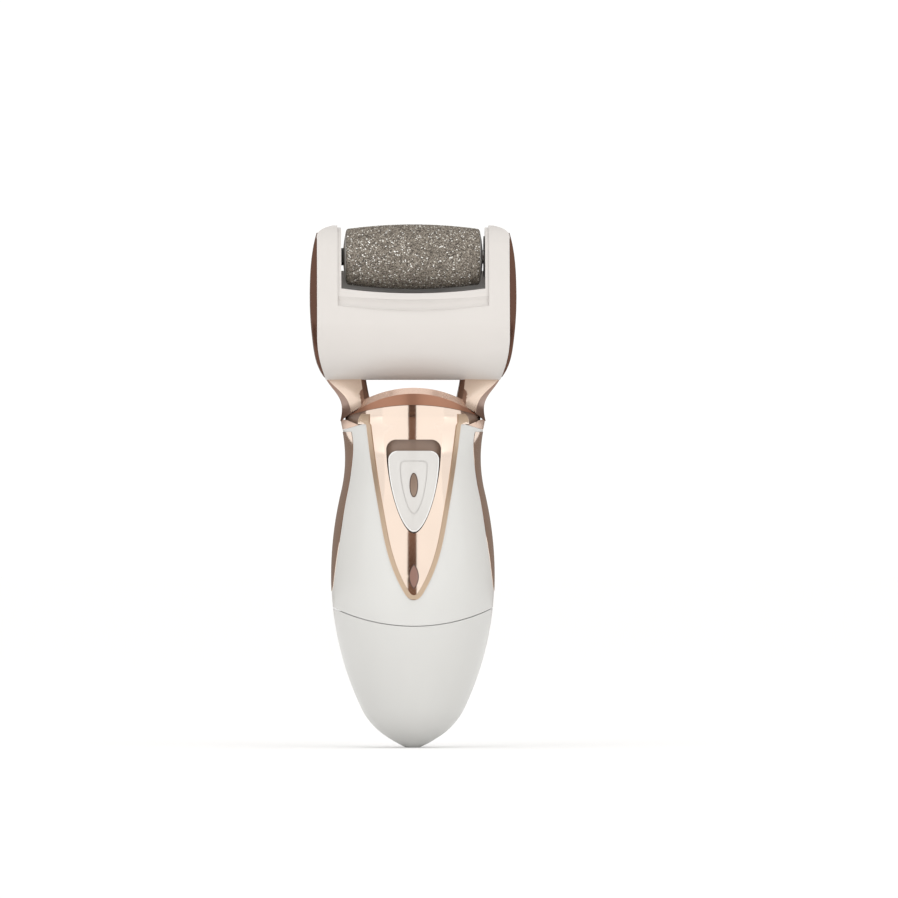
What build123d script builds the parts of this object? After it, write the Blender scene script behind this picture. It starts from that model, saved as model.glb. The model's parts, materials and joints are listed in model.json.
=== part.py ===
"""Electric callus remover: two-cell handle, twin struts, motor head and abrasive roller.

Millimetres. The origin is the centre of the small resting flat on the handle's tip.
+Z runs up to the roller, +Y is the back of the handle and +X is its right-hand side.
"""
import os
from math import acos, asin, cos, degrees, pi, radians, sin, sqrt, tan

from build123d import *

os.makedirs("parts", exist_ok=True)

# Handle: a round body standing on a rounded tip
TIP_FLAT = 2.0
HANDLE_TOP = 112.0
BELLY = (23.35, 49.1)
TIP_KNEE = (14.8, 11.3)
TIP_TURN = (8.0, 3.4)
WAIST_LOW = (20.5, 73.2)
WAIST_HIGH = (20.35, 92.0)
NECK = (20.7, 96.0)
WALL = 1.8
SPIGOT_WALL = 1.3

# Seam between the shells and the battery cap: an arc that dips at the front and the back
SEAM_MID = 34.8
SEAM_RADIUS = 53.6
SEAM_GAP = 0.2
SPIGOT_LOW = 30.5
SPIGOT_HIGH = 44.0

# Neck: collar cheeks, arched crown and the two struts that carry the head
SHOULDER = [(0.0, 93.4), (13.3, 93.0), (18.3, 91.5), (24.0, 89.7)]
CROWN_TOP = 103.0
CROWN_RADIUS = 30.5
BAND_LOW = 98.1
BAND_RADIUS = 58.6
CROWN_BEVEL = 1.7
STRUT_FOOT = 101.5
STRUT_TOP = 108.0

# Front panel, switch and indicator
PANEL_FLANK = [
    (13.6, 92.6), (11.6, 77.5), (9.65, 66.0), (7.45, 55.5), (5.3, 49.4), (2.85, 44.6), (0.0, 42.4),
]
PANEL_PROUD = 0.35
PANEL_SEAT = 0.9
RECESS = (7.84, 88.2, 61.4)
RECESS_DEPTH = 1.7
SLIDER = (7.25, 85.0, 61.8)
SLIDER_TRAVEL = 2.8
EMBOSS = (4.0, 82.2, 66.9)
INLAY_Z = 75.2
INLAY = (1.22, 3.5)
LENS_Z = 49.1
LENS = (1.42, 3.62)

# Side trims, seen from the side as a long tongue
TRIM_FLANK = [(9.5, 90.4), (8.2, 80.0), (8.6, 70.0), (9.0, 60.0), (7.8, 53.7), (5.8, 48.0), (0.0, 44.7)]
TRIM_PROUD = 0.12
TRIM_SEAT = 0.8

# Cells and circuit board
CELL_RADIUS = 7.25
CELL_LENGTH = 50.5
CELL_X = 7.6
CELL_LOW = 17.0
BOARD_Y = -10.6
BOARD_THICK = 1.4

# Head: egg-shaped from the side, a round barrel below and two arms around the roller above
ROLLER_Z = 140.6
ARM_RADIUS = 9.0
BARREL_Z = 118.5
BARREL_RADIUS = 15.0
HEAD_LOW = 105.3
HEAD_HALF = 27.55
ARM_INNER = 20.6
BULKHEAD = 1.4
HEAD_WALL = 1.5
POCKET_RADIUS = 10.6
RIM_SIDE = 131.4
RIM_MID = 130.0
GUARD_TOP = 138.3

# Roller
ROLLER_HALF = 19.2
ROLLER_MID_R = 9.3
ROLLER_END_R = 7.95
SLEEVE_BORE = 6.6
CAP_BULGE = 0.8

# Gears, module 0.5, in the left arm
MODULE = 0.5
PRESSURE = radians(20)
MOTOR_Z = 117.0
COMPOUND_Z = 127.0
IDLER_AT = (4.64, 132.89)
PINION_TEETH = 10
LARGE_TEETH = 30
SMALL_TEETH = 14
IDLER_TEETH = 16
OUTPUT_TEETH = 20
OUTER_GEARS = (-27.2, -25.0)
INNER_GEARS = (-24.6, -22.6)
AXLE_RADIUS = 0.75
RUNNING = 0.05

# Release, in the right arm
PIN_RADIUS = 2.0
PIN_TIP = 18.4
PIN_TRAVEL = 1.8
LEVER_X = 24.3
LEVER_Z = 135.4
STEM_Z = 131.0


# The revolved surfaces start on a plane that no flat cut shares
SEAM_PLANE = Plane(origin=(0, 0, 0), x_dir=(0.8, 0.6, 0), z_dir=(0.6, -0.8, 0))


def save(piece, name):
    """Label a finished piece and write it to its own file."""
    piece.part.label = name
    export_step(piece.part, f"parts/{name}.step")


def flank_arcs():
    """The handle's flank from the tip to the neck, as arcs that run into one another."""
    low_belly = TangentArc(BELLY, TIP_KNEE, tangent=(0, -1))
    low_tip = TangentArc(TIP_KNEE, TIP_TURN, tangent=low_belly % 1)
    tip = TangentArc(TIP_TURN, (TIP_FLAT, 0), tangent=low_tip % 1)
    high_belly = TangentArc(BELLY, WAIST_LOW, tangent=(0, 1))
    waist = TangentArc(WAIST_LOW, WAIST_HIGH, tangent=high_belly % 1)
    neck = TangentArc(WAIST_HIGH, NECK, tangent=waist % 1)
    return [(tip, -1), (low_tip, -1), (low_belly, -1), (high_belly, 1), (waist, 1), (neck, 1)]


def grown_points(arc, way, growth):
    """Start, middle and end of an arc, upwards, moved along the outward normal."""
    points = []
    for share in (0, 0.5, 1):
        place = share if way > 0 else 1 - share
        point = arc @ place
        along = arc % place
        points.append((point.X + way * along.Y * growth, point.Y - way * along.X * growth))
    return points


ARCS = flank_arcs()


def handle_body(growth=0.0):
    """The handle's closed volume, its surface moved outwards, or inwards where growth is negative."""
    arcs = [grown_points(arc, way, growth) for arc, way in ARCS]
    foot = arcs[0][0]
    neck = arcs[-1][2]
    top = HANDLE_TOP + growth
    with BuildPart() as body:
        with BuildSketch(SEAM_PLANE):
            with BuildLine():
                for start, middle, end in arcs:
                    ThreePointArc(start, middle, end)
                Polyline(neck, (neck[0], top), (0, top), (0, foot[1]), foot)
            make_face()
        revolve(axis=Axis.Z)
    return body.part


def prism_xz(outline, front=-40.0, back=40.0):
    """A face in the XZ plane carried from front to back along Y."""
    with BuildPart() as prism:
        with BuildSketch(Plane.XZ.offset(-back)):
            add(outline)
        extrude(amount=back - front)
    return prism.part


def prism_yz(outline, left=-40.0, right=40.0):
    """A face in the YZ plane carried from left to right along X."""
    with BuildPart() as prism:
        with BuildSketch(Plane.YZ.offset(left)):
            add(outline)
        extrude(amount=right - left)
    return prism.part


def box_between(low, high):
    """A plain box between two opposite corners."""
    size = [b - a for a, b in zip(low, high)]
    middle = [(a + b) / 2 for a, b in zip(low, high)]
    with BuildPart() as block:
        with Locations(tuple(middle)):
            Box(*size)
    return block.part


def rod(start, end, radius):
    """A round rod between two points."""
    direction = Vector(*end) - Vector(*start)
    with BuildPart() as bar:
        with BuildSketch(Plane(origin=start, z_dir=direction)):
            Circle(radius)
        extrude(amount=direction.length)
    return bar.part


def above_arc(middle, radius, reach=40.0, top=160.0):
    """XZ face above an arc that dips in the middle."""
    rise = radius - sqrt(radius ** 2 - reach ** 2)
    with BuildSketch() as face:
        with BuildLine():
            ThreePointArc((-reach, middle + rise), (0, middle), (reach, middle + rise))
            Polyline((reach, middle + rise), (reach, top), (-reach, top), (-reach, middle + rise))
        make_face()
    return face.sketch


def below_arch(middle, radius, low=-10.0, reach=24.0):
    """XZ face below an arch that is highest in the middle."""
    drop = radius - sqrt(radius ** 2 - reach ** 2)
    with BuildSketch() as face:
        with BuildLine():
            ThreePointArc((-reach, middle - drop), (0, middle), (reach, middle - drop))
            Polyline((reach, middle - drop), (reach, low), (-reach, low), (-reach, middle - drop))
        make_face()
    return face.sketch


def mirrored_face(flank):
    """Face between a flank that ends on the middle line and its mirror image."""
    with BuildSketch() as face:
        with BuildLine():
            Spline(flank, tangents=[(0, -1), (-1, 0)])
            Line(flank[0], (0, flank[0][1]))
            mirror(about=Plane.YZ)
        make_face()
    return face.sketch


def shield(half_width, top, tip, grow=0.0):
    """Shield outline: flat top with round corners, flanks meeting in a round tip."""
    wide = half_width + grow
    high = top + grow
    low = tip - grow
    corner = 0.36 * wide
    knee = high - 0.5 * (high - low)
    with BuildSketch() as face:
        with BuildLine():
            brow = Line((0, high), (wide - corner, high))
            shoulder = RadiusArc(brow @ 1, (wide, high - corner), corner)
            Bezier(shoulder @ 1, (0.98 * wide, knee), (0.45 * wide, low), (0, low))
            mirror(about=Plane.YZ)
        make_face()
    return face.sketch


def almond(half_width, half_height, middle):
    """Pointed oval, two arcs meeting above and below."""
    with BuildSketch() as face:
        with BuildLine():
            ThreePointArc((0, middle + half_height), (half_width, middle), (0, middle - half_height))
            ThreePointArc((0, middle + half_height), (-half_width, middle), (0, middle - half_height))
        make_face()
    return face.sketch


def egg(shrink=0.0, low=HEAD_LOW):
    """Side outline of the head: the hull of the barrel circle and the arm circle, cut flat below."""
    small = ARM_RADIUS - shrink
    large = BARREL_RADIUS - shrink
    lean = asin((large - small) / (ROLLER_Z - BARREL_Z))
    tangent = [(r * cos(lean), z + r * sin(lean)) for r, z in ((small, ROLLER_Z), (large, BARREL_Z))]
    foot = sqrt(large ** 2 - (BARREL_Z - low) ** 2)
    with BuildSketch() as face:
        with BuildLine():
            ThreePointArc((-tangent[0][0], tangent[0][1]), (0, ROLLER_Z + small), tangent[0])
            Line(tangent[0], tangent[1])
            ThreePointArc(tangent[1], (large * cos(0.3), BARREL_Z - large * sin(0.3)), (foot, low))
            Line((foot, low), (-foot, low))
            ThreePointArc((-foot, low), (-large * cos(0.3), BARREL_Z - large * sin(0.3)),
                          (-tangent[1][0], tangent[1][1]))
            Line((-tangent[1][0], tangent[1][1]), (-tangent[0][0], tangent[0][1]))
        make_face()
    return face.sketch


def tapped(piece, spots):
    """Remove rods from a piece; each spot is start, end and radius."""
    with BuildPart() as drilled:
        add(piece)
        for start, end, radius in spots:
            add(rod(start, end, radius), mode=Mode.SUBTRACT)
    return drilled.part


HANDLE = handle_body()
CAVITY = handle_body(-WALL)
ABOVE_SEAM = prism_xz(above_arc(SEAM_MID, SEAM_RADIUS))
ABOVE_SEAM_GAP = prism_xz(above_arc(SEAM_MID + SEAM_GAP, SEAM_RADIUS))
TRIM_TONGUE = mirrored_face(TRIM_FLANK)

# ---------------------------------------------------------------- handle shells


def panel_face():
    """Front outline of the rose-gold panel: ears at the top, a long rounded V below."""
    with BuildSketch() as face:
        with BuildLine():
            brow = ThreePointArc((0, 98.0), (6.8, 97.6), (13.2, 96.5))
            ear = Spline([brow @ 1, (15.2, 95.2), (15.9, 92.6)])
            Line(ear @ 1, PANEL_FLANK[0])
            Spline(PANEL_FLANK, tangents=[(-0.12, -1), (-1, 0)])
            mirror(about=Plane.YZ)
        make_face()
    return face.sketch


PANEL_PRISM = prism_xz(panel_face(), back=-2.0)
RECESS_PRISM = prism_xz(shield(*RECESS), back=-2.0)
TRIM_PRISM = prism_yz(TRIM_TONGUE)

# The shells' top edge slopes down from beside the panel to the flanks
with BuildSketch() as shoulder_cut:
    with BuildLine():
        Polyline(*SHOULDER, (24.0, -10.0), (0.0, -10.0))
        mirror(about=Plane.YZ)
    make_face()
BELOW_SHOULDER = prism_xz(shoulder_cut.sketch)


def skin(outer, inner, region=None):
    """The layer between two offsets of the handle, optionally kept only inside a region."""
    with BuildPart() as layer:
        add(handle_body(outer))
        add(handle_body(inner), mode=Mode.SUBTRACT)
        if region:
            add(region, mode=Mode.INTERSECT)
    return layer.part


# Screw posts at (x, z), with the height of the back surface there; screws go in from the back
HANDLE_POSTS = [(18.6, 50.0, 11.4), (-18.6, 50.0, 11.4), (14.0, 82.0, 11.2), (-14.0, 82.0, 11.2)]
POST_RADIUS = 1.9
SHANK_RADIUS = 1.1
SCREW_HEAD = 1.9
HEAD_DEEP = 1.4
SPIGOT_ZONE = box_between((-30, -30, SPIGOT_LOW), (30, 30, SPIGOT_HIGH))
PANEL_SEAT_CUT = PANEL_PRISM - handle_body(-PANEL_SEAT)
TRIM_SEAT_CUT = TRIM_PRISM - handle_body(-TRIM_SEAT)
LENS_PRISM = prism_xz(almond(*LENS, LENS_Z), back=-8.0)


def screw(x, z, seat, tip, shank=SHANK_RADIUS, head=SCREW_HEAD):
    """Cross-headed screw along Y; its head's under-face is at seat and its tip at tip."""
    with BuildPart() as one:
        add(rod((x, tip, z), (x, seat, z), shank))
        add(rod((x, seat, z), (x, seat + HEAD_DEEP, z), head))
        for wide, tall in ((0.5, 2.2), (2.2, 0.5)):
            low = (x - wide / 2, seat + HEAD_DEEP - 0.7, z - tall / 2)
            high = (x + wide / 2, seat + HEAD_DEEP + 1, z + tall / 2)
            add(box_between(low, high), mode=Mode.SUBTRACT)
    return one.part


def shell_posts():
    """The four posts inside the handle, trimmed to its inner surface."""
    with BuildPart() as posts:
        for x, z, _ in HANDLE_POSTS:
            add(rod((x, -18, z), (x, 18, z), POST_RADIUS))
        add(handle_body(-0.9), mode=Mode.INTERSECT)
    return posts.part


def whole_shell():
    """Both white shells as one, before they are parted along the flanks."""
    with BuildPart() as shell:
        add(HANDLE)
        add(CAVITY, mode=Mode.SUBTRACT)
        add(ABOVE_SEAM_GAP, mode=Mode.INTERSECT)
        add(BELOW_SHOULDER, mode=Mode.INTERSECT)
        add(shell_posts())
        add(skin(-WALL + 0.3, -WALL - SPIGOT_WALL, SPIGOT_ZONE) & ABOVE_SEAM_GAP)
        add(skin(-WALL - 0.2, -WALL - SPIGOT_WALL, SPIGOT_ZONE))
        add(PANEL_SEAT_CUT, mode=Mode.SUBTRACT)
        add(TRIM_SEAT_CUT, mode=Mode.SUBTRACT)
        add(RECESS_PRISM, mode=Mode.SUBTRACT)
        add(LENS_PRISM, mode=Mode.SUBTRACT)
        for x, z, seat in HANDLE_POSTS:
            add(rod((x, -9, z), (x, seat, z), SHANK_RADIUS), mode=Mode.SUBTRACT)
            add(rod((x, seat, z), (x, 25, z), SCREW_HEAD + 0.1), mode=Mode.SUBTRACT)
    return shell.part


WHOLE_SHELL = whole_shell()

with BuildPart() as front_shell:
    add(WHOLE_SHELL)
    split(bisect_by=Plane.XZ, keep=Keep.TOP)
save(front_shell, "front_shell")

with BuildPart() as back_shell:
    add(WHOLE_SHELL)
    split(bisect_by=Plane.XZ, keep=Keep.BOTTOM)
save(back_shell, "back_shell")

with BuildPart() as shell_screws:
    for x, z, seat in HANDLE_POSTS:
        add(screw(x, z, seat, -9))
save(shell_screws, "shell_screws")

# The cap is everything below the seam, with ribs that carry the cap contact
with BuildPart() as battery_cap:
    add(HANDLE)
    add(CAVITY, mode=Mode.SUBTRACT)
    add(box_between((-11, -1.2, 1), (11, 1.2, 12.5)))
    add(box_between((-1.2, -9, 1), (1.2, 9, 12.5)))
    add(HANDLE, mode=Mode.INTERSECT)
    add(ABOVE_SEAM, mode=Mode.SUBTRACT)
save(battery_cap, "battery_cap")

# ---------------------------------------------------------------- trims, panel, switch, lens

TRIM_SKIN = skin(TRIM_PROUD, -TRIM_SEAT, TRIM_PRISM)
for name, low, high in (("left_side_trim", -30, 0), ("right_side_trim", 0, 30)):
    with BuildPart() as side_trim:
        add(TRIM_SKIN)
        add(box_between((low, -20, 0), (high, 20, 100)), mode=Mode.INTERSECT)
    save(side_trim, name)

with BuildPart() as front_panel:
    add(skin(PANEL_PROUD, -PANEL_SEAT, PANEL_PRISM))
    add(RECESS_PRISM, mode=Mode.SUBTRACT)
    add(LENS_PRISM, mode=Mode.SUBTRACT)
save(front_panel, "front_panel")

STEM = (2.0, 71.4, 76.2)
with BuildPart() as recess_plate:
    add(skin(-RECESS_DEPTH, -RECESS_DEPTH - 0.8, RECESS_PRISM))
    slot_low = (-STEM[0] - 0.3, -30, STEM[1] - 0.3)
    slot_high = (STEM[0] + 0.3, 0, STEM[2] + SLIDER_TRAVEL + 0.3)
    add(box_between(slot_low, slot_high), mode=Mode.SUBTRACT)
    # small lozenge pressed into the floor above the slider
    add(prism_xz(almond(0.65, 1.0, 86.7), back=-2) - handle_body(-RECESS_DEPTH - 0.25), mode=Mode.SUBTRACT)
save(recess_plate, "recess_plate")

with BuildSketch() as inlay_face:
    with Locations((0, INLAY_Z)):
        Ellipse(*INLAY)
INLAY_PRISM = prism_xz(inlay_face.sketch, back=-2)
EMBOSS_RING = prism_xz(shield(*EMBOSS) - shield(*EMBOSS, grow=-0.35), back=-2)

with BuildPart() as switch_slider:
    add(skin(0.9, -RECESS_DEPTH + 0.3, prism_xz(shield(*SLIDER), back=-2)))
    add(EMBOSS_RING - handle_body(0.7), mode=Mode.SUBTRACT)
    add(INLAY_PRISM - handle_body(0.2), mode=Mode.SUBTRACT)
save(switch_slider, "switch_slider")

with BuildPart() as slider_inlay:
    add(skin(1.0, 0.2, INLAY_PRISM))
save(slider_inlay, "slider_inlay")

SWITCH_FACE = -16.0
LEVER_BOX = ((-0.9, -17.6, 72.9), (0.9, -14.2, 74.7))
with BuildPart() as switch_lever:
    add(box_between(*LEVER_BOX))
save(switch_lever, "switch_lever")

with BuildPart() as slider_stem:
    add(box_between((-STEM[0], -19.5, STEM[1]), (STEM[0], SWITCH_FACE - 0.3, STEM[2])))
    add(handle_body(-RECESS_DEPTH + 0.3), mode=Mode.INTERSECT)
    add(box_between(*LEVER_BOX), mode=Mode.SUBTRACT)
save(slider_stem, "slider_stem")

with BuildPart() as power_switch:
    add(box_between((-4.5, SWITCH_FACE, 69.5), (4.5, BOARD_Y, 80.0)))
    add(box_between((-1.1, SWITCH_FACE - 1, 72.6), (1.1, -13.6, 77.8)), mode=Mode.SUBTRACT)
save(power_switch, "power_switch")

with BuildPart() as indicator_lens:
    add(skin(0.6, -2.4, LENS_PRISM))
save(indicator_lens, "indicator_lens")

with BuildPart() as indicator_led:
    add(rod((0, BOARD_Y, LENS_Z), (0, BOARD_Y - 1, LENS_Z), 1.9))
    add(rod((0, BOARD_Y, LENS_Z), (0, -19.0, LENS_Z), 1.5))
    fillet(indicator_led.faces().sort_by(Axis.Y)[0].edges(), 1.2)
save(indicator_led, "indicator_led")

with BuildPart() as circuit_board:
    add(box_between((-9, BOARD_Y, 44), (9, BOARD_Y + BOARD_THICK, 84)))
    fillet(circuit_board.edges().filter_by(Axis.Y), 1.5)
save(circuit_board, "circuit_board")

# ---------------------------------------------------------------- cells and contacts

TRAY_RADIUS = CELL_RADIUS + 1.35
TRAY_LOW = 33.0
TRAY_HIGH = 70.0
with BuildPart() as battery_tray:
    with BuildSketch(Plane.XY.offset(TRAY_LOW)):
        SlotCenterToCenter(2 * CELL_X, 2 * TRAY_RADIUS)
    extrude(amount=TRAY_HIGH - TRAY_LOW)
    with BuildSketch(Plane.XY.offset(TRAY_LOW)):
        with Locations((CELL_X, 0), (-CELL_X, 0)):
            Circle(CELL_RADIUS + 0.25)
    extrude(amount=TRAY_HIGH - TRAY_LOW - 1.4, mode=Mode.SUBTRACT)
save(battery_tray, "battery_tray")

CELL_HIGH = CELL_LOW + CELL_LENGTH
for name, x, terminal in (("left_cell", -CELL_X, 1), ("right_cell", CELL_X, -1)):
    nub_end = CELL_HIGH if terminal > 0 else CELL_LOW
    barrel_low = CELL_LOW if terminal > 0 else CELL_LOW + 1
    with BuildPart() as cell:
        add(rod((x, 0, barrel_low), (x, 0, barrel_low + CELL_LENGTH - 1), CELL_RADIUS))
        chamfer(cell.edges().filter_by(GeomType.CIRCLE), 0.4)
        add(rod((x, 0, nub_end - 1.5 * terminal), (x, 0, nub_end), 2.6))
    save(cell, name)

with BuildPart() as tray_contacts:
    for x in (-CELL_X, CELL_X):
        add(box_between((x - 3.5, -3.5, CELL_HIGH + 0.2), (x + 3.5, 3.5, CELL_HIGH + 0.6)))
save(tray_contacts, "tray_contacts")

CONTACT_LOW = 12.5
with BuildPart() as cap_contact:
    with BuildSketch(Plane.XY.offset(CONTACT_LOW)):
        SlotOverall(21.6, 7.0)
    extrude(amount=0.4)
save(cap_contact, "cap_contact")

with BuildPart() as cap_springs:
    for x in (-CELL_X, CELL_X):
        coil = Helix(pitch=0.82, height=3.3, radius=2.5, center=(x, 0, CONTACT_LOW + 0.62))
        with BuildSketch(Plane(origin=coil @ 0, z_dir=coil % 0)):
            Circle(0.2)
        sweep(path=coil)
save(cap_springs, "cap_springs")

# ---------------------------------------------------------------- neck

BAND_PRISM = prism_xz(below_arch(BAND_LOW, BAND_RADIUS))
ARCH_PRISM = prism_xz(below_arch(CROWN_TOP, CROWN_RADIUS))


def strut_section(height, inner, crease, edge, flank):
    """Eight-sided strut section; each corner is (x, half depth)."""
    corners = [inner, crease, edge, flank]
    outline = corners + [(x, -y) for x, y in reversed(corners)]
    with BuildSketch(Plane.XY.offset(height)) as section:
        with BuildLine():
            Polyline(*outline, close=True)
        make_face()
    return section.sketch


def strut_blank():
    """The right strut before its foot is cut to the crown's arch."""
    with BuildPart() as blank:
        loft(sections=[
            strut_section(93.5, (12.2, 15.2), (12.5, 16.9), (17.2, 12.3), (20.8, 3.4)),
            strut_section(99.5, (12.45, 11.5), (13.9, 13.0), (18.9, 10.2), (20.8, 5.0)),
            strut_section(102.6, (13.0, 8.2), (14.5, 9.6), (21.6, 8.6), (22.8, 6.4)),
            strut_section(106.0, (13.55, 6.2), (14.9, 7.2), (24.8, 6.9), (25.1, 6.2)),
            strut_section(STRUT_TOP, (13.7, 5.8), (15.0, 6.6), (25.4, 6.3), (25.7, 5.8)),
        ])
    return blank.part


TENON = box_between((13.6, -4.2, 89.0), (17.0, 4.2, 101.0))
LEAD_CHANNEL = [(15.4, 2.7, 84), (15.4, 2.7, 97), (18.4, 2.7, 110)]
FOOT_PRISM = prism_xz(below_arch(STRUT_FOOT, CROWN_RADIUS))


def strut():
    """Right strut with its tenon and the channel for the motor leads."""
    with BuildPart() as leg:
        add(strut_blank())
        add(FOOT_PRISM, mode=Mode.SUBTRACT)
        add(TENON)
        for start, end in zip(LEAD_CHANNEL, LEAD_CHANNEL[1:]):
            add(rod(start, end, 1.05), mode=Mode.SUBTRACT)
        add(rod((15.2, 0, 88), (15.2, 0, 95.5), 1.1), mode=Mode.SUBTRACT)
    return leg.part


RIGHT_STRUT = strut()
LEFT_STRUT = mirror(RIGHT_STRUT, about=Plane.YZ)
with BuildPart() as right_strut:
    add(RIGHT_STRUT)
save(right_strut, "right_strut")
with BuildPart() as left_strut:
    add(LEFT_STRUT)
save(left_strut, "left_strut")

with BuildPart() as strut_envelope:
    add(strut_blank() - FOOT_PRISM)
    add(TENON)
    mirror(about=Plane.YZ)
STRUT_ENVELOPE = strut_envelope.part

with BuildPart() as crown:
    add(box_between((-26, -26, 93), (26, 26, 108)) & handle_body(0.0))
    add(ARCH_PRISM, mode=Mode.INTERSECT)
    chamfer(crown.faces().sort_by(Axis.Z)[-1].edges(), CROWN_BEVEL)
    add(BAND_PRISM, mode=Mode.SUBTRACT)
    add(STRUT_ENVELOPE, mode=Mode.SUBTRACT)
save(crown, "crown")

LEAD_SHIFT = 0.5
with BuildPart() as neck_core:
    add(handle_body(-1.3) - BELOW_SHOULDER)
    add(handle_body(-WALL - 0.1) & box_between((-26, -26, 87), (26, 26, 96)))
    add(BAND_PRISM, mode=Mode.INTERSECT)
    add(STRUT_ENVELOPE, mode=Mode.SUBTRACT)
    add(prism_xz(shield(*RECESS, grow=0.3), back=-2.0), mode=Mode.SUBTRACT)
    add(box_between((11.0, 0.6, 80), (18.0, 4.2, 90)), mode=Mode.SUBTRACT)
    for x in (-15.2, 15.2):
        add(rod((x, 0, 80), (x, 0, 90), 1.4), mode=Mode.SUBTRACT)
    for x, z, _ in HANDLE_POSTS[2:]:
        add(rod((x, -20, z), (x, 20, z), POST_RADIUS + 0.2), mode=Mode.SUBTRACT)
save(neck_core, "neck_core")

with BuildPart() as strut_screws:
    for x in (-15.2, 15.2):
        add(rod((x, 0, 87), (x, 0, 95.3), 1.05))
        add(rod((x, 0, 85.4), (x, 0, 87), 2.0))
save(strut_screws, "strut_screws")

# Cream cheeks above the shells' shoulders, wrapped round the flanks
with BuildSketch() as cheek_face:
    with BuildLine():
        Polyline((15.7, 92.35), (19.0, 93.8), (22.0, 94.3), (22.0, 90.5), (18.3, 91.55), close=True)
    make_face()
CHEEK = skin(0.0, -1.3, prism_xz(cheek_face.sketch)) - STRUT_ENVELOPE
with BuildPart() as right_collar:
    add(CHEEK)
save(right_collar, "right_collar")
with BuildPart() as left_collar:
    add(mirror(CHEEK, about=Plane.YZ))
save(left_collar, "left_collar")

# ---------------------------------------------------------------- head shells

with BuildSketch() as head_front_face:
    with BuildLine():
        Line((0, HEAD_LOW), (24.9, HEAD_LOW))
        side_curve = ThreePointArc((24.9, HEAD_LOW), (26.75, 110.8), (HEAD_HALF, 118.0))
        Line(side_curve @ 1, (HEAD_HALF, 145.5))
        arm_tip = Spline([(HEAD_HALF, 145.5), (27.2, 147.5), (25.4, 148.8), (22.8, 149.6)])
        Line(arm_tip @ 1, (0, 149.6))
        mirror(about=Plane.YZ)
    make_face()
HEAD_PRISM = prism_xz(head_front_face.sketch)

# The window in front of the roller has a lower edge that sags in the middle
RIM_RADIUS = (ARM_INNER ** 2 + (RIM_SIDE - RIM_MID) ** 2) / (2 * (RIM_SIDE - RIM_MID))


def roller_cylinder(radius, half):
    """Cylinder about the roller's axis."""
    return rod((-half, 0, ROLLER_Z), (half, 0, ROLLER_Z), radius)


def pocket():
    """Room for the roller between the arms, open at the top, front and back."""
    with BuildPart() as room:
        add(roller_cylinder(POCKET_RADIUS, ARM_INNER))
        add(box_between((-ARM_INNER, -30, GUARD_TOP), (ARM_INNER, 30, 160)))
        window = prism_xz(above_arc(RIM_MID, RIM_RADIUS), back=0.0)
        add(window & box_between((-ARM_INNER, -30, 120), (ARM_INNER, 1, 160)))
    return room.part


# Scoop below the lip: a groove that follows the sagging rim
SCOOP = (13.9, 127.0, 2.1)


def scoop():
    """Ring-shaped cutter whose circle runs parallel to the rim."""
    depth, height, size = SCOOP
    with BuildPart() as groove:
        with BuildSketch(Plane.YZ):
            with Locations((-depth, height)):
                Circle(size)
        revolve(axis=Axis((0, 0, height + RIM_RADIUS), (0, 1, 0)), revolution_arc=360)
        add(box_between((-ARM_INNER - 1, -30, 115), (ARM_INNER + 1, 0, 140)), mode=Mode.INTERSECT)
    return groove.part


# Shallow rebate that frames the window and its lip, with the same sag below
REBATE_HALF = 21.65
REBATE_LOW = 124.6
REBATE_SAG = 2.1
REBATE_DEEP = 0.6


def rebate():
    """Thin layer of the head's surface around the window, front, top and back."""
    radius = (REBATE_HALF ** 2 + REBATE_SAG ** 2) / (2 * REBATE_SAG)
    layer = prism_yz(egg()) - prism_yz(egg(REBATE_DEEP))
    frame = prism_xz(above_arc(REBATE_LOW, radius))
    return layer & frame & box_between((-REBATE_HALF, -30, 120), (REBATE_HALF, 30, 160))


HEAD_POSTS = [(12.5, 109.3, 9.2), (14.6, 124.8, 11.2), (-8.0, 107.9, 8.2), (-10.0, 126.6, 10.9)]
ARM_CAVITY = egg(1.5, low=110.5)


def whole_head():
    """The white head before it is parted into a front and a back shell."""
    with BuildPart() as head:
        add(HEAD_PRISM & prism_yz(egg()))
        add(pocket(), mode=Mode.SUBTRACT)
        add(scoop(), mode=Mode.SUBTRACT)
        add(rebate(), mode=Mode.SUBTRACT)
        with BuildSketch(Plane.YZ.offset(-ARM_INNER)):
            with Locations((0, BARREL_Z)):
                Circle(BARREL_RADIUS - HEAD_WALL)
        barrel_room = extrude(amount=2 * ARM_INNER, mode=Mode.PRIVATE)
        barrel_room = barrel_room - roller_cylinder(POCKET_RADIUS + HEAD_WALL, 30)
        barrel_room = barrel_room & box_between((-30, -30, HEAD_LOW + HEAD_WALL), (30, 30, 135))
        barrel_room = barrel_room - scoop_wall()
        add(barrel_room, mode=Mode.SUBTRACT)
        arm_room = prism_yz(ARM_CAVITY, -40, -ARM_INNER - BULKHEAD)
        add(arm_room, mode=Mode.SUBTRACT)
        add(mirror(arm_room, about=Plane.YZ), mode=Mode.SUBTRACT)
        for x, z, _ in HEAD_POSTS:
            add(rod((x, -9.4, z), (x, 14, z), 1.5) & prism_yz(egg(0.6)))
        for y in (-7.3, 7.3):
            boss = rod((LEVER_X, y - 3.2, LEVER_Z), (LEVER_X, y + 3.2, LEVER_Z), 1.9)
            add(boss & prism_yz(egg(0.6)))
        add(STRUT_ENVELOPE, mode=Mode.SUBTRACT)
    return head.part


def scoop_wall():
    """Material kept behind the scoop."""
    return box_between((-ARM_INNER - 1, -30, 123.5), (ARM_INNER + 1, -9.6, 140))


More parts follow.
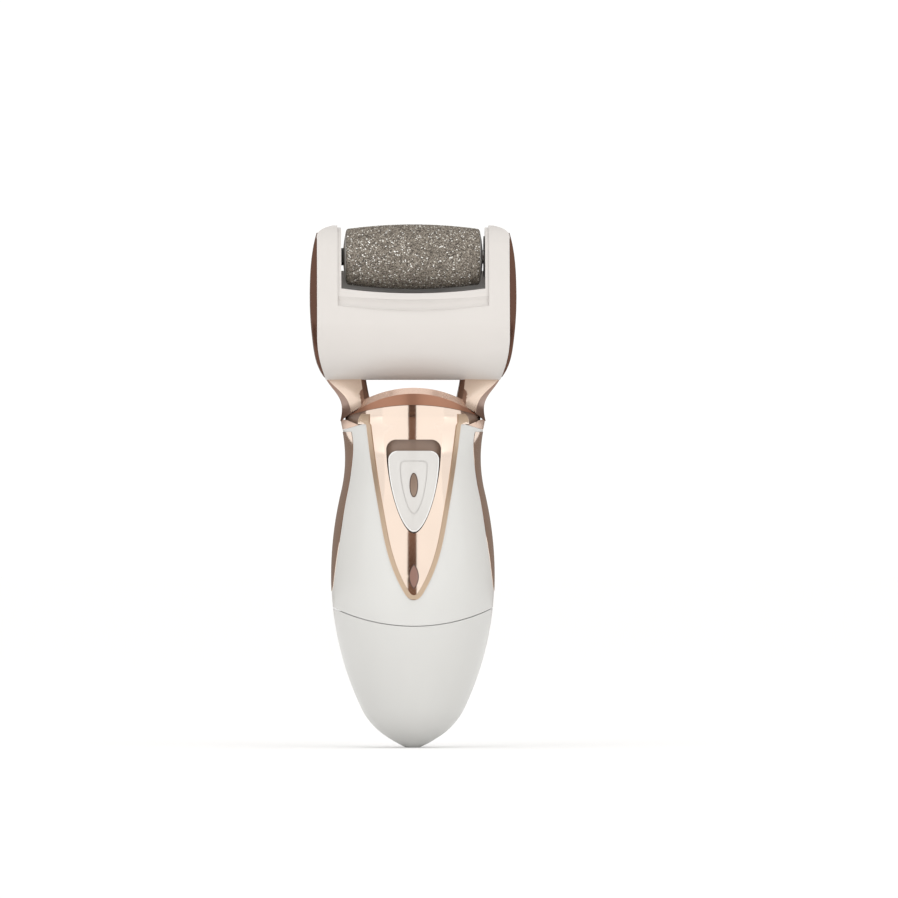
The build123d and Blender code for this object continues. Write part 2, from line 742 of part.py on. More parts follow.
HEAD_HOLES = [((x, -7, z), (x, seat, z), 1.0) for x, z, seat in HEAD_POSTS]
HEAD_HOLES += [((x, seat, z), (x, 25, z), SCREW_HEAD + 0.1) for x, z, seat in HEAD_POSTS]
HEAD_HOLES += [
    ((LEVER_X, -8.0, LEVER_Z), (LEVER_X, 8.0, LEVER_Z), AXLE_RADIUS),
    ((-23, 0, MOTOR_Z), (-20, 0, MOTOR_Z), 3.1),
    ((-23, 0, ROLLER_Z), (-20, 0, ROLLER_Z), 3.6),
    ((20, 0, ROLLER_Z), (23, 0, ROLLER_Z), 4.0),
]
WHOLE_HEAD = tapped(whole_head(), HEAD_HOLES)

with BuildPart() as head_front_shell:
    add(WHOLE_HEAD)
    split(bisect_by=Plane.XZ, keep=Keep.TOP)
save(head_front_shell, "head_front_shell")

with BuildPart() as head_back_shell:
    add(WHOLE_HEAD)
    split(bisect_by=Plane.XZ, keep=Keep.BOTTOM)
save(head_back_shell, "head_back_shell")

with BuildPart() as head_screws:
    for x, z, seat in HEAD_POSTS:
        add(screw(x, z, seat, -7, shank=1.0))
save(head_screws, "head_screws")

# ---------------------------------------------------------------- side covers and release button

COVER_SPAN = egg(0.5, low=106.0)
COVER_CURVE = [
    (25.3, 105.9), (27.3, 109.6), (28.65, 116.2), (29.4, 125.0), (29.45, 133.0), (28.9, 141.0), (27.6, 147.4),
]
BUTTON_Z = 133.7
BUTTON = (14.0, 8.4)

with BuildSketch() as cover_face:
    with BuildLine():
        Spline(COVER_CURVE)
        Polyline(COVER_CURVE[-1], (20.0, COVER_CURVE[-1][1]), (20.0, COVER_CURVE[0][1]), COVER_CURVE[0])
    make_face()
with BuildPart() as cover_blank:
    add(prism_xz(cover_face.sketch) & prism_yz(COVER_SPAN))
    add(HEAD_PRISM, mode=Mode.SUBTRACT)
    add(STRUT_ENVELOPE, mode=Mode.SUBTRACT)
COVER = cover_blank.part


def button_prism(grow, left, right):
    """Upright racetrack of the release button, along X."""
    with BuildPart() as slot:
        with BuildSketch(Plane.YZ.offset(left)):
            with Locations((0, BUTTON_Z)):
                SlotOverall(BUTTON[0] + 2 * grow, BUTTON[1] + 2 * grow, rotation=90)
        extrude(amount=right - left)
    return slot.part


with BuildPart() as drive_cover:
    add(mirror(COVER, about=Plane.YZ))
save(drive_cover, "drive_cover")

with BuildPart() as release_cover:
    add(COVER)
    add(button_prism(0.2, 20, 40), mode=Mode.SUBTRACT)
save(release_cover, "release_cover")

STEM_LEFT = 24.2
NUB_OUT = 4.4 * tan(radians(9.82))
with BuildPart() as release_button:
    add(button_prism(0, 28.0, 40) & prism_xz(cover_face.sketch))
    add(button_prism(0, 27.5, 28.2) & box_between((20, -10, 110), (40, 10, 132.4)))
    add(box_between((STEM_LEFT, -2.0, STEM_Z - 0.9), (28.1, 2.0, STEM_Z + 0.9)))
    for low, high in ((-3, -1.1), (1.1, 3)):
        slot_box = ((LEVER_X + NUB_OUT - 0.5, low, 128), (LEVER_X + NUB_OUT + 0.5, high, 134))
        add(box_between(*slot_box), mode=Mode.SUBTRACT)
save(release_button, "release_button")

with BuildPart() as button_spring:
    coil = Helix(pitch=0.85, height=4.9, radius=1.3, center=(22.3, 0, 128.2), direction=(1, 0, 0))
    with BuildSketch(Plane(origin=coil @ 0, z_dir=coil % 0)):
        Circle(0.18)
    sweep(path=coil)
save(button_spring, "button_spring")

PIN_NUB = (LEVER_X - PIN_TRAVEL / 2, ROLLER_Z)
STEM_NUB = (LEVER_X + NUB_OUT, STEM_Z)
with BuildPart() as release_lever:
    for side in (-1, 1):
        inner, outer = 2.3 * side, 3.1 * side
        for spot, radius in ((PIN_NUB, 0.8), ((LEVER_X, LEVER_Z), 1.5), (STEM_NUB, 0.8)):
            add(rod((spot[0], inner, spot[1]), (spot[0], outer, spot[1]), radius))
        for spot in (PIN_NUB, STEM_NUB):
            with BuildSketch(Plane.XZ.offset(-max(inner, outer))):
                with BuildLine():
                    Polyline((spot[0] - 0.8, spot[1]), (spot[0] + 0.8, spot[1]),
                             (LEVER_X + 1.2, LEVER_Z), (LEVER_X - 1.2, LEVER_Z), close=True)
                make_face()
            extrude(amount=0.8)
        add(rod((PIN_NUB[0], 1.45 * side, PIN_NUB[1]), (PIN_NUB[0], inner, PIN_NUB[1]), 0.4))
        add(rod((STEM_NUB[0], 1.3 * side, STEM_NUB[1]), (STEM_NUB[0], inner, STEM_NUB[1]), 0.4))
    add(rod((LEVER_X, -2.4, LEVER_Z), (LEVER_X, 2.4, LEVER_Z), 1.5))
    add(rod((LEVER_X, -4, LEVER_Z), (LEVER_X, 4, LEVER_Z), AXLE_RADIUS + RUNNING), mode=Mode.SUBTRACT)
save(release_lever, "release_lever")

with BuildPart() as lever_pivot:
    add(rod((LEVER_X, -8.0, LEVER_Z), (LEVER_X, 8.0, LEVER_Z), AXLE_RADIUS))
save(lever_pivot, "lever_pivot")

with BuildPart() as retracting_pin:
    add(rod((PIN_TIP, 0, ROLLER_Z), (24.5, 0, ROLLER_Z), PIN_RADIUS))
    chamfer(retracting_pin.edges().sort_by(Axis.X)[0], 0.4)
    add(rod((22.9, 0, ROLLER_Z), (23.9, 0, ROLLER_Z), PIN_RADIUS), mode=Mode.SUBTRACT)
    add(rod((22.9, 0, ROLLER_Z), (23.9, 0, ROLLER_Z), 1.3))
save(retracting_pin, "retracting_pin")

with BuildPart() as bearing_disc:
    add(rod((20.2, 0, ROLLER_Z), (ARM_INNER, 0, ROLLER_Z), 5.9))
    add(rod((ARM_INNER, 0, ROLLER_Z), (22.6, 0, ROLLER_Z), 4.0))
    add(rod((20, 0, ROLLER_Z), (23, 0, ROLLER_Z), PIN_RADIUS + RUNNING), mode=Mode.SUBTRACT)
save(bearing_disc, "bearing_disc")

# ---------------------------------------------------------------- roller


def turned(profile):
    """Solid turned about the roller's axis from a list of (x, radius) corners."""
    with BuildPart() as solid:
        with BuildSketch(Plane(origin=(0, 0, ROLLER_Z), x_dir=(1, 0, 0), z_dir=(0, -1, 0))):
            with BuildLine():
                Polyline(*profile, close=True)
            make_face()
        revolve(axis=Axis((0, 0, ROLLER_Z), (1, 0, 0)))
    return solid.part


with BuildPart() as roller_sleeve:
    with BuildSketch(Plane(origin=(0, 0, ROLLER_Z), x_dir=(1, 0, 0), z_dir=(0, -1, 0))):
        with BuildLine():
            ThreePointArc((-ROLLER_HALF, ROLLER_END_R), (0, ROLLER_MID_R), (ROLLER_HALF, ROLLER_END_R))
            Polyline((ROLLER_HALF, ROLLER_END_R), (ROLLER_HALF, SLEEVE_BORE),
                     (-ROLLER_HALF, SLEEVE_BORE), (-ROLLER_HALF, ROLLER_END_R))
        make_face()
        fillet(vertices().group_by(Axis.Y)[-1], 0.9)
    revolve(axis=Axis((0, 0, ROLLER_Z), (1, 0, 0)))
save(roller_sleeve, "roller_sleeve")

CORE_HALF = 18.4
CORE_BORE = 5.6
with BuildPart() as roller_core:
    add(turned([
        (-CORE_HALF, CORE_BORE), (CORE_HALF, CORE_BORE), (CORE_HALF, SLEEVE_BORE), (-CORE_HALF, SLEEVE_BORE),
    ]))
save(roller_core, "roller_core")


def roller_cap():
    """Right-hand roller cap: domed face, spigot and hub, not yet bored."""
    with BuildPart() as cap:
        with BuildSketch(Plane(origin=(0, 0, ROLLER_Z), x_dir=(1, 0, 0), z_dir=(0, -1, 0))):
            with BuildLine():
                ThreePointArc((ROLLER_HALF, 7.3), (ROLLER_HALF + 0.6, 3.9), (ROLLER_HALF + CAP_BULGE, 0))
                Polyline((ROLLER_HALF + CAP_BULGE, 0), (14.5, 0), (14.5, CORE_BORE), (CORE_HALF, CORE_BORE),
                         (CORE_HALF, SLEEVE_BORE), (ROLLER_HALF, SLEEVE_BORE), (ROLLER_HALF, 7.3))
            make_face()
        revolve(axis=Axis((0, 0, ROLLER_Z), (1, 0, 0)))
    return cap.part


SPINDLE_RADIUS = 2.5
with BuildPart() as roller_right_cap:
    add(roller_cap())
    add(rod((17.9, 0, ROLLER_Z), (22, 0, ROLLER_Z), PIN_RADIUS + RUNNING), mode=Mode.SUBTRACT)
save(roller_right_cap, "roller_right_cap")

with BuildPart() as roller_left_cap:
    add(mirror(roller_cap(), about=Plane.YZ))
    add(rod((-22, 0, ROLLER_Z), (-18.0, 0, ROLLER_Z), SPINDLE_RADIUS + 0.1), mode=Mode.SUBTRACT)
    add(box_between((-18.5, -1.95, ROLLER_Z - 1.05), (-15.1, 1.95, ROLLER_Z + 1.05)), mode=Mode.SUBTRACT)
save(roller_left_cap, "roller_left_cap")

with BuildPart() as drive_spindle:
    add(rod((-22.7, 0, ROLLER_Z), (-18.2, 0, ROLLER_Z), SPINDLE_RADIUS))
    add(rod((-24.8, 0, ROLLER_Z), (-22.7, 0, ROLLER_Z), 1.5))
    add(box_between((-18.3, -1.75, ROLLER_Z - 0.85), (-15.4, 1.75, ROLLER_Z + 0.85)))
save(drive_spindle, "drive_spindle")

with BuildPart() as output_bush:
    add(rod((-22.6, 0, ROLLER_Z), (-ARM_INNER, 0, ROLLER_Z), 3.6))
    add(rod((-23, 0, ROLLER_Z), (-20, 0, ROLLER_Z), SPINDLE_RADIUS + RUNNING), mode=Mode.SUBTRACT)
save(output_bush, "output_bush")

# ---------------------------------------------------------------- gears

THIN = 0.82


def involute(angle):
    """Involute function of a pressure angle."""
    return tan(angle) - angle


def gear_face(teeth, centre, phase):
    """Spur gear outline; one tooth points along phase, in degrees from the first axis."""
    pitch_r = MODULE * teeth / 2
    base_r = pitch_r * cos(PRESSURE)
    root_r = pitch_r - 1.15 * MODULE
    tip_r = pitch_r + 0.8 * MODULE
    half = THIN * pi / (2 * teeth) + involute(PRESSURE)
    radii = [root_r, max(base_r, root_r + 0.02), pitch_r, tip_r]
    flank = [(r, half - involute(acos(min(1.0, base_r / r)))) for r in radii]
    corners = []
    for tooth in range(teeth):
        middle = radians(phase) + 2 * pi * tooth / teeth
        for side in (-1, 1):
            for r, angle in (flank if side < 0 else reversed(flank)):
                turn = middle + side * angle
                corners.append((centre[0] + r * cos(turn), centre[1] + r * sin(turn)))
    with BuildSketch() as face:
        with BuildLine():
            Polyline(*corners, close=True)
        make_face()
    return face.sketch


def mate_phase(phase, teeth, direction, mate_teeth):
    """Phase of a gear that meshes at rest with its neighbour in the given direction."""
    share = ((direction - phase) * teeth / 360) % 1
    return direction + 180 - (360 / mate_teeth) * (0.5 - share)


def gear(teeth, centre, phase, span):
    """Gear blank between two X positions."""
    with BuildPart() as wheel:
        with BuildSketch(Plane.YZ.offset(span[0])):
            add(gear_face(teeth, centre, phase))
        extrude(amount=span[1] - span[0])
    return wheel.part


UP = 90.0
TO_IDLER = degrees(asin((IDLER_AT[1] - COMPOUND_Z) / 7.5))
TO_OUTPUT = 180 - degrees(asin((ROLLER_Z - IDLER_AT[1]) / 9.0))
LARGE_PHASE = mate_phase(UP, PINION_TEETH, UP, LARGE_TEETH)
SMALL_PHASE = TO_IDLER
IDLER_PHASE = mate_phase(SMALL_PHASE, SMALL_TEETH, TO_IDLER, IDLER_TEETH)
OUTPUT_PHASE = mate_phase(IDLER_PHASE, IDLER_TEETH, TO_OUTPUT, OUTPUT_TEETH)


def bored(blank, centre, radius):
    """Gear with a bore along X."""
    return blank - rod((-40, centre[0], centre[1]), (-20, centre[0], centre[1]), radius)


with BuildPart() as pinion:
    add(bored(gear(PINION_TEETH, (0, MOTOR_Z), UP, OUTER_GEARS), (0, MOTOR_Z), 1.0))
save(pinion, "pinion")

with BuildPart() as compound_gear:
    small = gear(SMALL_TEETH, (0, COMPOUND_Z), SMALL_PHASE, (OUTER_GEARS[1] - 0.1, INNER_GEARS[1] - 0.1))
    add(gear(LARGE_TEETH, (0, COMPOUND_Z), LARGE_PHASE, OUTER_GEARS))
    add(small)
    add(rod((-40, 0, COMPOUND_Z), (-20, 0, COMPOUND_Z), AXLE_RADIUS + RUNNING), mode=Mode.SUBTRACT)
save(compound_gear, "compound_gear")

with BuildPart() as idler_gear:
    add(bored(gear(IDLER_TEETH, IDLER_AT, IDLER_PHASE, INNER_GEARS), IDLER_AT, AXLE_RADIUS + RUNNING))
save(idler_gear, "idler_gear")

with BuildPart() as output_gear:
    add(bored(gear(OUTPUT_TEETH, (0, ROLLER_Z), OUTPUT_PHASE, (INNER_GEARS[0], -22.75)), (0, ROLLER_Z), 1.5))
save(output_gear, "output_gear")

PLATE_SPAN = (-22.55, -ARM_INNER - BULKHEAD)
with BuildPart() as gear_plate:
    add(prism_yz(egg(1.8, low=111.0), *PLATE_SPAN))
    add(rod((-23, 0, ROLLER_Z), (-20, 0, ROLLER_Z), 3.6), mode=Mode.SUBTRACT)
    add(rod((-23, 0, MOTOR_Z), (-20, 0, MOTOR_Z), 3.1), mode=Mode.SUBTRACT)
    for y, z in ((0, COMPOUND_Z), IDLER_AT):
        add(rod((-23, y, z), (-20, y, z), AXLE_RADIUS), mode=Mode.SUBTRACT)
save(gear_plate, "gear_plate")

# The idler's axle stops short of the large wheel that turns beside it
with BuildPart() as gear_axles:
    for y, z, end in ((0, COMPOUND_Z, -27.45), (*IDLER_AT, INNER_GEARS[0] - 0.2)):
        add(rod((end, y, z), (PLATE_SPAN[1], y, z), AXLE_RADIUS))
save(gear_axles, "gear_axles")

# ---------------------------------------------------------------- motor

CAN_LEFT = -19.1
CAN_RIGHT = 5.8


def flatted(radius, left, right, flat):
    """Round bar along X with flats above and below."""
    bar = rod((left, 0, MOTOR_Z), (right, 0, MOTOR_Z), radius)
    return bar & box_between((left - 1, -30, MOTOR_Z - flat), (right + 1, 30, MOTOR_Z + flat))


with BuildPart() as motor_can:
    add(flatted(10.05, CAN_LEFT, CAN_RIGHT, 7.5))
    add(flatted(9.25, CAN_LEFT + 0.8, CAN_RIGHT + 1, 6.7), mode=Mode.SUBTRACT)
    add(rod((CAN_LEFT - 1.5, 0, MOTOR_Z), (CAN_LEFT, 0, MOTOR_Z), 3.05))
    add(rod((-30, 0, MOTOR_Z), (-15, 0, MOTOR_Z), 1.05), mode=Mode.SUBTRACT)
save(motor_can, "motor_can")

with BuildPart() as motor_magnets:
    add(flatted(9.25, -16, 2, 5.5))
    add(rod((-20, 0, MOTOR_Z), (10, 0, MOTOR_Z), 7.0), mode=Mode.SUBTRACT)
save(motor_magnets, "motor_magnets")

with BuildPart() as motor_end_bell:
    add(flatted(10.05, CAN_RIGHT, CAN_RIGHT + 2.2, 7.5))
    add(rod((CAN_RIGHT - 1, 0, MOTOR_Z), (12, 0, MOTOR_Z), 1.05), mode=Mode.SUBTRACT)
save(motor_end_bell, "motor_end_bell")

with BuildPart() as motor_terminals:
    for y in (-4, 4):
        add(box_between((8.0, y - 1.2, 121.0), (11.0, y + 1.2, 121.5)))
save(motor_terminals, "motor_terminals")

with BuildPart() as motor_shaft:
    add(rod((-27.3, 0, MOTOR_Z), (7.6, 0, MOTOR_Z), 1.0))
save(motor_shaft, "motor_shaft")

with BuildPart() as motor_armature:
    add(rod((-15, 0, MOTOR_Z), (0, 0, MOTOR_Z), 6.4))
    for slot in range(3):
        turn = 2 * pi * slot / 3
        side = (5.6 * cos(turn), MOTOR_Z + 5.6 * sin(turn))
        add(rod((-16, side[0], side[1]), (1, side[0], side[1]), 1.2), mode=Mode.SUBTRACT)
    add(rod((0, 0, MOTOR_Z), (5.0, 0, MOTOR_Z), 2.3))
    add(rod((-20, 0, MOTOR_Z), (10, 0, MOTOR_Z), 1.0), mode=Mode.SUBTRACT)
save(motor_armature, "motor_armature")

# Twin lead from the circuit board, up the right strut, to the motor's terminals
with BuildPart() as motor_leads:
    for shift, y_end in ((-LEAD_SHIFT, -4), (LEAD_SHIFT, 4)):
        route = [
            (6 + 4 * shift, BOARD_Y + BOARD_THICK, 79), (6 + 4 * shift, -6, 80.5), (9.5 + shift, 1.5, 83.5),
            (15.4 + shift, 2.7, 87.5), (15.4 + shift, 2.7, 97), (18.4 + shift, 2.7, 110),
            (18.6, 1.5 * y_end, 116.5), (14.5, y_end, 120.6), (11.0, y_end, 121.25),
        ]
        with BuildLine() as path:
            FilletPolyline(*route, radius=1.6)
        with BuildSketch(Plane(origin=path.line @ 0, z_dir=path.line % 0)):
            Circle(0.42)
        sweep(path=path.line)
save(motor_leads, "motor_leads")
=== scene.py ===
import json
import math
import random

import bpy
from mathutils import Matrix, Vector
from mathutils.bvhtree import BVHTree


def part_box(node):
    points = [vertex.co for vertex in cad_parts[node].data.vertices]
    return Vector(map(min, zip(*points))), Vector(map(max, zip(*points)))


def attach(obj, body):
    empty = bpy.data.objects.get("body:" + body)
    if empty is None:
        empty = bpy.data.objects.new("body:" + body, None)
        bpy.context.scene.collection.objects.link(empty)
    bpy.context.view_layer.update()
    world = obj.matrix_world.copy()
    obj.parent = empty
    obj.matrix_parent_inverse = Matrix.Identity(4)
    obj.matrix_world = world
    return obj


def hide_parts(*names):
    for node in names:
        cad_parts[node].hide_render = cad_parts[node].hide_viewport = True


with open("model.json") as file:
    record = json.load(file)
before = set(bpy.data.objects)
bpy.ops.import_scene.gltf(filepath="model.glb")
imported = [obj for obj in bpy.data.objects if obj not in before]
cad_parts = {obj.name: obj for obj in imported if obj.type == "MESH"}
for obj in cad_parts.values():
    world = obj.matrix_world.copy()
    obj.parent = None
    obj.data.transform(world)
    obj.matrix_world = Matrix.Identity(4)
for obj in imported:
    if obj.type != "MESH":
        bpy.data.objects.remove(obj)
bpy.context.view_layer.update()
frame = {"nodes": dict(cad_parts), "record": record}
nodes = frame["nodes"]
MM = 0.001

# ------------------------------------------------------------------ camera, floor and light

CAMERA_DISTANCE = 6.0
CAMERA_AZIMUTH = math.radians(-0.8)
VIEW_WIDTH = 0.2573
VIEW_CENTRE = (0.01035, 0.0855)
SENSOR = 36.0
CLIP_NEAR = 0.05
CLIP_FAR = 50.0

camera_data = bpy.data.cameras.new("camera")
camera_data.sensor_width = SENSOR
camera_data.lens = SENSOR * CAMERA_DISTANCE / VIEW_WIDTH
camera_data.clip_start = CLIP_NEAR
camera_data.clip_end = CLIP_FAR
camera = bpy.data.objects.new("camera", camera_data)
camera.location = (
    VIEW_CENTRE[0] + CAMERA_DISTANCE * math.sin(CAMERA_AZIMUTH),
    -CAMERA_DISTANCE * math.cos(CAMERA_AZIMUTH), VIEW_CENTRE[1])
camera.rotation_euler = (math.pi / 2, 0, CAMERA_AZIMUTH)
bpy.context.scene.collection.objects.link(camera)
bpy.context.scene.camera = camera

view = bpy.context.scene.view_settings
view.view_transform = "Standard"
view.look = "None"

STUDIO_WHITE = (1.0, 0.995, 0.985, 1)
STUDIO_STRENGTH = 1.06

world = bpy.data.worlds.new("studio")
world.use_nodes = True
bpy.context.scene.world = world
backlight = world.node_tree.nodes["Background"]
backlight.inputs["Color"].default_value = STUDIO_WHITE
backlight.inputs["Strength"].default_value = STUDIO_STRENGTH


def linked(name, data):
    """New object in the scene."""
    obj = bpy.data.objects.new(name, data)
    bpy.context.scene.collection.objects.link(obj)
    return obj


def softbox(name, place, target, width, height, watts):
    """Area light aimed at a point. Its reflection comes from a card of its own."""
    data = bpy.data.lights.new(name, "AREA")
    data.shape = "RECTANGLE"
    data.size = width
    data.size_y = height
    data.energy = watts
    lamp = linked(name, data)
    lamp.location = place
    lamp.rotation_euler = (Vector(target) - Vector(place)).to_track_quat("-Z", "Y").to_euler()
    lamp.visible_camera = False
    lamp.visible_glossy = False


AIM = (0, 0, 0.08)
softbox("left_softbox", (-0.62, -1.0, 0.35), AIM, width=0.9, height=1.1, watts=5.0)
softbox("right_softbox", (0.62, -1.0, 0.35), AIM, width=0.9, height=1.1, watts=4.7)
softbox("top_softbox", (0, 0.1, 1.2), AIM, width=1.2, height=1.0, watts=0.8)


def emitter(name, low, high):
    """Card material whose tone changes with height, from low to high."""
    made = bpy.data.materials.new(name)
    made.use_nodes = True
    tree = made.node_tree
    tree.nodes.clear()
    coords = tree.nodes.new("ShaderNodeTexCoord")
    split = tree.nodes.new("ShaderNodeSeparateXYZ")
    ramp = tree.nodes.new("ShaderNodeValToRGB")
    glow = tree.nodes.new("ShaderNodeEmission")
    out = tree.nodes.new("ShaderNodeOutputMaterial")
    tree.links.new(coords.outputs["Generated"], split.inputs[0])
    tree.links.new(split.outputs["Z"], ramp.inputs[0])
    tree.links.new(ramp.outputs[0], glow.inputs["Color"])
    tree.links.new(glow.outputs[0], out.inputs["Surface"])
    ramp.color_ramp.elements[0].color = (*low, 1)
    ramp.color_ramp.elements[1].color = (*high, 1)
    return made


def card(name, corners, material):
    """Flat card of the studio, seen in reflections only."""
    mesh = bpy.data.meshes.new(name)
    mesh.from_pydata(corners, [], [(0, 1, 2, 3)])
    mesh.materials.append(material)
    obj = linked(name, mesh)
    obj.visible_camera = False
    obj.visible_diffuse = False
    obj.visible_shadow = False


flag_dark = emitter("flag_dark", (0.05, 0.027, 0.018), (0.36, 0.21, 0.15))
flag_side = emitter("flag_side", (0.27, 0.215, 0.185), (0.38, 0.33, 0.30))
glow_card = emitter("glow_card", (1.16, 1.15, 1.13), (1.22, 1.21, 1.19))
CARD_Y = -1.0
CARD_NEAR = -0.2
SLIT = (-0.14, 0.078)
GLOW_HALF = 1.15
FLOOR_GAP = 0.002
CARD_TOP = 0.5
GLOW_TOP = 0.95
SIDE_NEAR = (1.6, -0.3)
SIDE_FAR = (0.10, 1.1)
SIDE_TOP = 2.2


def standing(name, left, right, top, material):
    """Upright card in front of the object, between two sides."""
    card(name, [(left, CARD_Y, 0), (right, CARD_Y, 0), (right, CARD_Y, top), (left, CARD_Y, top)], material)


def lying(name, left, right, material):
    """Card on the floor in front of the object, its sides running towards the object."""
    share = CARD_NEAR / CARD_Y
    card(name, [(left * share, CARD_NEAR, FLOOR_GAP), (right * share, CARD_NEAR, FLOOR_GAP),
                (right, CARD_Y, FLOOR_GAP), (left, CARD_Y, FLOOR_GAP)], material)


standing("centre_flag", *SLIT, CARD_TOP, flag_dark)
lying("centre_flag_foot", *SLIT, flag_dark)
standing("left_glow", -GLOW_HALF, SLIT[0], GLOW_TOP, glow_card)
standing("right_glow", SLIT[1], GLOW_HALF, GLOW_TOP, glow_card)
lying("left_glow_foot", -GLOW_HALF, SLIT[0], glow_card)
lying("right_glow_foot", SLIT[1], GLOW_HALF, glow_card)
for side in (-1, 1):
    near = (SIDE_NEAR[0] * side, SIDE_NEAR[1])
    far = (SIDE_FAR[0] * side, SIDE_FAR[1])
    card(f"side_flag_{side}", [(*near, 0.0), (*far, 0.0), (*far, SIDE_TOP), (*near, SIDE_TOP)], flag_side)

# ------------------------------------------------------------------ materials

COAT_ROUGHNESS = 0.06
IOR = 1.47
NOISE_LOW = 0.3
NOISE_HIGH = 0.7


def tone(colour, factor):
    """A colour made darker or lighter, as RGBA."""
    return (*[min(1.0, c * factor) for c in colour], 1)


class Surface:
    """Principled material with its own texture coordinates and small helpers for wiring."""

    def __init__(self, name, roughness, metallic=0.0, coat=0.0):
        self.material = bpy.data.materials.new(name)
        self.material.use_nodes = True
        self.tree = self.material.node_tree
        self.shader = self.tree.nodes["Principled BSDF"]
        self.shader.inputs["Roughness"].default_value = roughness
        self.shader.inputs["Metallic"].default_value = metallic
        self.shader.inputs["Coat Weight"].default_value = coat
        self.shader.inputs["Coat Roughness"].default_value = COAT_ROUGHNESS
        self.shader.inputs["IOR"].default_value = IOR
        self.coords = self.tree.nodes.new("ShaderNodeTexCoord").outputs["Object"]

    def node(self, kind, **values):
        """New node with its named inputs set."""
        made = self.tree.nodes.new(kind)
        for key, value in values.items():
            made.inputs[key.replace("_", " ")].default_value = value
        return made

    def noise(self, scale, detail=3.0, stretch=(1, 1, 1)):
        """Noise value over the object, its features about one over scale metres."""
        source = self.coords
        if stretch != (1, 1, 1):
            mapping = self.node("ShaderNodeMapping", Scale=stretch)
            self.tree.links.new(source, mapping.inputs["Vector"])
            source = mapping.outputs["Vector"]
        made = self.node("ShaderNodeTexNoise", Scale=scale, Detail=detail)
        self.tree.links.new(source, made.inputs["Vector"])
        return made.outputs["Fac"]

    def ramp(self, value, stops, target):
        """Colour ramp from a value to a socket."""
        made = self.tree.nodes.new("ShaderNodeValToRGB")
        elements = made.color_ramp.elements
        while len(elements) < len(stops):
            elements.new(0.5)
        for element, (place, colour) in zip(elements, stops):
            element.position = place
            element.color = colour
        self.tree.links.new(value, made.inputs[0])
        self.tree.links.new(made.outputs[0], target)

    def drift(self, value, dark, light, target):
        """Noise turned into a drift between two colours, to a socket."""
        self.ramp(value, [(NOISE_LOW, dark), (NOISE_HIGH, light)], target)

    def span(self, value, low, high, target):
        """Noise turned into a value between two limits, to a socket."""
        made = self.node("ShaderNodeMapRange")
        made.inputs["From Min"].default_value = NOISE_LOW
        made.inputs["From Max"].default_value = NOISE_HIGH
        made.inputs["To Min"].default_value = low
        made.inputs["To Max"].default_value = high
        self.tree.links.new(value, made.inputs["Value"])
        self.tree.links.new(made.outputs["Result"], target)

    def bump(self, value, strength, depth):
        """Bump from a value, depth in metres."""
        made = self.node("ShaderNodeBump", Strength=strength, Distance=depth)
        self.tree.links.new(value, made.inputs["Height"])
        self.tree.links.new(made.outputs["Normal"], self.shader.inputs["Normal"])


# Texture scales are in features per metre, bump depths in metres
FLOW_SCALE = 45.0
GLOSS_SCALE = 70.0
GRAIN_SCALE = 3200.0
PLATING_SCALE = 38.0
PLATING_GLOSS_SCALE = 120.0
PEEL_SCALE = 900.0
PEEL_DEPTH = 0.000006
LINE_SCALE = 420.0
LINE_STRETCH = (1, 14, 14)
LINE_BUMP = 0.15
LINE_DEPTH = 0.00002
GRIT_SCALE = 3600.0
GRIT_BUMP = 0.7
GRIT_DEPTH = 0.00015


def moulded(name, colour, roughness, mottle=0.014, grain=0.10, depth=0.00001, **more):
    """Moulded plastic: faint flow mottling, uneven gloss and a fine moulded grain."""
    made = Surface(name, roughness, **more)
    made.drift(made.noise(FLOW_SCALE), tone(colour, 1 - mottle), tone(colour, 1 + mottle),
               made.shader.inputs["Base Color"])
    made.span(made.noise(GLOSS_SCALE, detail=1.0), roughness * 0.94, roughness * 1.06,
              made.shader.inputs["Roughness"])
    made.bump(made.noise(GRAIN_SCALE, detail=2.0), grain, depth)
    return made.material


def plated(name, colour, roughness, mottle=0.05, grain=0.10):
    """Bright plating over plastic: colour drifts a little, with a fine orange-peel ripple."""
    made = Surface(name, roughness, metallic=1.0)
    made.drift(made.noise(PLATING_SCALE), tone(colour, 1 - mottle), tone(colour, 1 + mottle),
               made.shader.inputs["Base Color"])
    made.span(made.noise(PLATING_GLOSS_SCALE), roughness * 0.9, roughness * 1.15,
              made.shader.inputs["Roughness"])
    made.bump(made.noise(PEEL_SCALE, detail=1.0), grain, PEEL_DEPTH)
    return made.material


def drawn(name, colour, roughness):
    """Drawn or turned metal: fine lines along one axis."""
    made = Surface(name, roughness, metallic=1.0)
    lines = made.noise(LINE_SCALE, stretch=LINE_STRETCH)
    made.drift(lines, tone(colour, 0.85), tone(colour, 1.1), made.shader.inputs["Base Color"])
    made.span(lines, roughness * 0.8, roughness * 1.25, made.shader.inputs["Roughness"])
    made.bump(lines, LINE_BUMP, LINE_DEPTH)
    return made.material


def grit(name):
    """Bonded mineral grit: brown-grey binder, pale and dark grains, and a few bright facets painted
    near-white into the colour as glints.
    """
    made = Surface(name, 0.62)
    tree = made.tree
    cells = made.node("ShaderNodeTexVoronoi", Scale=GRIT_SCALE)
    tree.links.new(made.coords, cells.inputs["Vector"])
    level = tree.nodes.new("ShaderNodeSeparateColor")
    tree.links.new(cells.outputs["Color"], level.inputs[0])
    # The top stops paint a few near-white cells as glints of light on grain facets
    made.ramp(level.outputs[0], [
        (0.0, (0.035, 0.028, 0.022, 1)), (0.5, (0.15, 0.126, 0.10, 1)), (0.93, (0.27, 0.238, 0.195, 1)),
        (0.965, (0.60, 0.58, 0.53, 1)), (1.0, (0.92, 0.91, 0.88, 1))], made.shader.inputs["Base Color"])
    made.span(level.outputs[1], 0.35, 0.8, made.shader.inputs["Roughness"])
    made.bump(cells.outputs["Distance"], GRIT_BUMP, GRIT_DEPTH)
    return made.material


